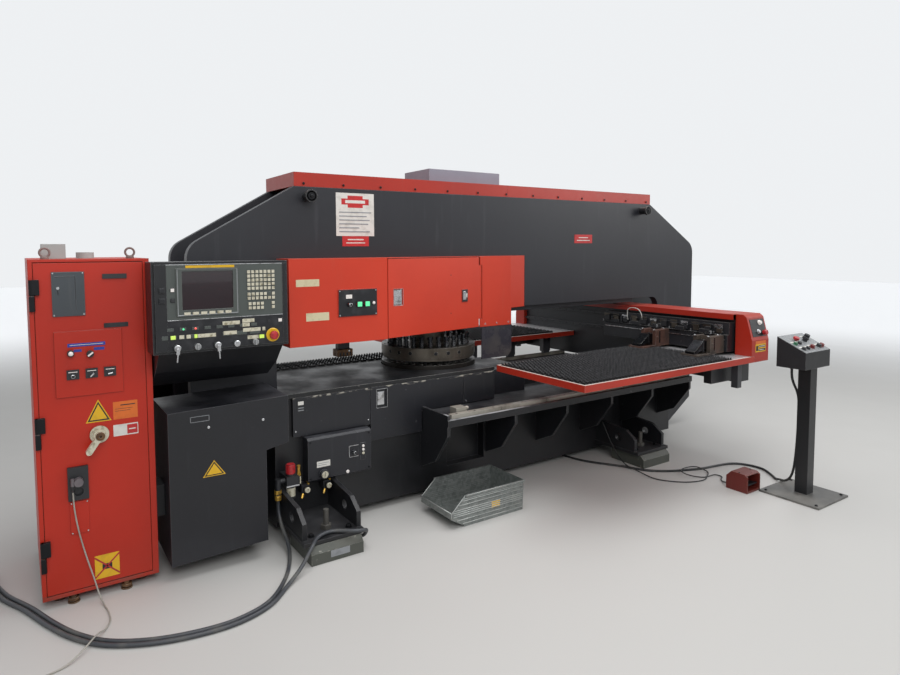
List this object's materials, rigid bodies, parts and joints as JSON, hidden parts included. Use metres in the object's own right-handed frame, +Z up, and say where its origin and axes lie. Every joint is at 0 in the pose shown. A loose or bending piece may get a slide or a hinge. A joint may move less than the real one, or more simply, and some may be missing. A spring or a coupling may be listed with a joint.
{
  "type": "cnc turret punch press",
  "caption": "Bridge-frame turret punch press with brush tables, cross carriage and clamps, operator panel, control cabinet, pedestal desk and foot switch",
  "frame": {"origin": "centre of the machine's footprint at floor level, cords not counted", "axes": "+X along the machine's length from the control cabinet to the frame's right end, +Y from the operator's side to the rear, +Z up"},
  "size_m": [5.702, 3.28, 2.192],
  "materials": {
    "black_paint": "satin",
    "red_paint": "satin",
    "grey_paint": "satin",
    "charcoal_paint": "satin",
    "panel_grey": "satin",
    "bare_steel": "satin",
    "turret_steel": "satin",
    "tool_steel": "satin",
    "dark_steel": "satin",
    "bright_steel": "polished",
    "zinc_sheet": "satin",
    "clamp_iron": "matte",
    "black_plastic": "matte",
    "smoked_plastic": "gloss",
    "cream_plastic": "gloss",
    "stop_red": "gloss",
    "switch_red": "satin",
    "brush_black": "matte",
    "hose_rubber": "matte",
    "grey_cable": "matte",
    "black_cable": "matte"
  },
  "bodies": {
    "frame": {"front_plate": "black_paint", "rear_plate": "black_paint", "cross_members": "black_paint", "base_frame": "black_paint", "foot_brackets": "black_paint", "front_covers": "black_paint", "guide_shelves": "black_paint", "left_cover": "black_paint", "lifting_trunnions": "black_paint", "fixed_tables": "black_paint", "air_panel": "black_paint", "pedestal": "black_paint", "top_covers": "red_paint", "turret_covers": "red_paint", "cabinet": "red_paint", "levelling_blocks": "grey_paint", "ram_cover_box": "grey_paint", "nc_box": "charcoal_paint", "pedestal_desk": "charcoal_paint", "nc_panel": "panel_grey", "shelf_rails": "bare_steel", "cabinet_hardware": "dark_steel", "scrap_bin": "zinc_sheet", "air_unit": "black_plastic", "lead_connector": "black_plastic", "turret_guard": "smoked_plastic", "foot_switch": "switch_red", "air_hose": "hose_rubber", "floor_hose": "hose_rubber", "air_hose_coil": "hose_rubber", "pedestal_cable": "black_cable", "foot_cable": "black_cable"},
    "turret_lower": {"lower_turret": "turret_steel"},
    "turret_upper": {"upper_turret": "turret_steel", "punches": "tool_steel"},
    "striking_punch": {"active_punch": "tool_steel"},
    "ram": {"ram": "turret_steel"},
    "turret_door": {"turret_door": "red_paint"},
    "door_latch": {"door_latch": "bright_steel"},
    "cabinet_door": {"cabinet_door": "red_paint", "door_fittings": "black_plastic", "socket_plug": "black_plastic", "socket_lead": "grey_cable"},
    "main_switch": {"main_switch": "cream_plastic"},
    "tables": {"side_tables": "red_paint", "brush_mats": "brush_black", "carriage_beam": "black_paint", "beam_covers": "red_paint"},
    "beam_stop": {"beam_stop": "stop_red"},
    "carriage": {"carriage": "dark_steel"},
    "clamp_near": {"clamp_near": "clamp_iron"},
    "clamp_far": {"clamp_far": "clamp_iron"},
    "jaw_near": {"jaw_near": "tool_steel"},
    "jaw_far": {"jaw_far": "tool_steel"},
    "nc_stop": {"nc_stop": "stop_red"},
    "nc_mode_knob": {"nc_mode_knob": "bright_steel"},
    "nc_feed_knob": {"nc_feed_knob": "bright_steel"},
    "desk_knob": {"desk_knob": "black_plastic"},
    "desk_button": {"desk_button": "stop_red"},
    "foot_pedal": {"foot_pedal": "black_plastic"}
  },
  "joints": [
    {"name": "lower_turret_turn", "type": "hinge", "parent": "frame", "child": "turret_lower", "pos_m": [-0.155, 0.33, 0.7], "axis": [0, 0, 1], "continuous": true},
    {"name": "upper_turret_turn", "type": "hinge", "parent": "frame", "child": "turret_upper", "pos_m": [-0.155, 0.33, 1.2], "axis": [0, 0, 1], "continuous": true},
    {"name": "ram_stroke", "type": "slide", "parent": "frame", "child": "ram", "axis": [0, 0, -1], "range_m": [0, 0.032]},
    {"name": "punch_stroke", "type": "slide", "parent": "turret_upper", "child": "striking_punch", "axis": [0, 0, -1], "range_m": [0, 0.032]},
    {"name": "turret_door_swing", "type": "hinge", "parent": "frame", "child": "turret_door", "pos_m": [0.1, 0.036, 1.33], "axis": [0, 0, 1], "range_deg": [0, 100]},
    {"name": "door_latch_turn", "type": "hinge", "parent": "turret_door", "child": "door_latch", "pos_m": [-0.629, -0.09113, 1.335], "axis": [0, 0, 1], "range_deg": [0, 35], "stiffness_Nm_per_rad": 0.4},
    {"name": "cabinet_door_swing", "type": "hinge", "parent": "frame", "child": "cabinet_door", "pos_m": [-2.608, -0.2545, 0.82], "axis": [0, 0, -1], "range_deg": [0, 110], "deforming": ["socket_lead"]},
    {"name": "main_switch_turn", "type": "hinge", "parent": "cabinet_door", "child": "main_switch", "pos_m": [-2.365, -0.27, 0.781], "axis": [0, 1, 0], "range_deg": [0, 90]},
    {"name": "table_travel", "type": "slide", "parent": "frame", "child": "tables", "axis": [-1, 0, 0], "range_m": [-0.05, 1]},
    {"name": "carriage_travel", "type": "slide", "parent": "tables", "child": "carriage", "axis": [0, 1, 0], "range_m": [0, 1.15]},
    {"name": "clamp_near_slide", "type": "slide", "parent": "carriage", "child": "clamp_near", "axis": [0, 1, 0], "range_m": [-0.02, 0.15]},
    {"name": "clamp_far_slide", "type": "slide", "parent": "carriage", "child": "clamp_far", "axis": [0, 1, 0], "range_m": [-0.15, 0.5]},
    {"name": "jaw_near_turn", "type": "hinge", "parent": "clamp_near", "child": "jaw_near", "pos_m": [1.5897, -0.74, 0.93], "axis": [0, 1, 0], "range_deg": [0, 8]},
    {"name": "jaw_far_turn", "type": "hinge", "parent": "clamp_far", "child": "jaw_far", "pos_m": [1.5897, -0.265, 0.93], "axis": [0, 1, 0], "range_deg": [0, 8]},
    {"name": "beam_stop_press", "type": "slide", "parent": "tables", "child": "beam_stop", "axis": [0, 0.9703, -0.2419], "range_m": [0, 0.004], "stiffness_N_per_m": 2000, "springref_m": -0.002},
    {"name": "nc_stop_press", "type": "slide", "parent": "frame", "child": "nc_stop", "axis": [0, 1, 0], "range_m": [0, 0.004], "stiffness_N_per_m": 2000, "springref_m": -0.002},
    {"name": "nc_mode_turn", "type": "hinge", "parent": "frame", "child": "nc_mode_knob", "pos_m": [-1.956, -0.44, 1.183], "axis": [0, 1, 0], "range_deg": [-120, 120]},
    {"name": "nc_feed_turn", "type": "hinge", "parent": "frame", "child": "nc_feed_knob", "pos_m": [-1.68, -0.44, 1.183], "axis": [0, 1, 0], "range_deg": [-150, 150]},
    {"name": "desk_knob_turn", "type": "hinge", "parent": "frame", "child": "desk_knob", "pos_m": [1.69284, -1.40603, 1.01732], "axis": [0, -0.4277, 0.9039], "range_deg": [-120, 120]},
    {"name": "desk_button_press", "type": "slide", "parent": "frame", "child": "desk_button", "axis": [0, 0.4277, -0.9039], "range_m": [0, 0.004], "stiffness_N_per_m": 2000, "springref_m": -0.002},
    {"name": "foot_pedal_press", "type": "hinge", "parent": "frame", "child": "foot_pedal", "pos_m": [1.4225, -1.127, 0.034], "axis": [1, 0, 0], "range_deg": [0, 10], "stiffness_Nm_per_rad": 20, "springref_deg": -5.73}
  ],
  "couplings": [
    {"joint": "upper_turret_turn", "follows": "lower_turret_turn", "ratio": 1},
    {"joint": "punch_stroke", "follows": "ram_stroke", "ratio": 1}
  ]
}
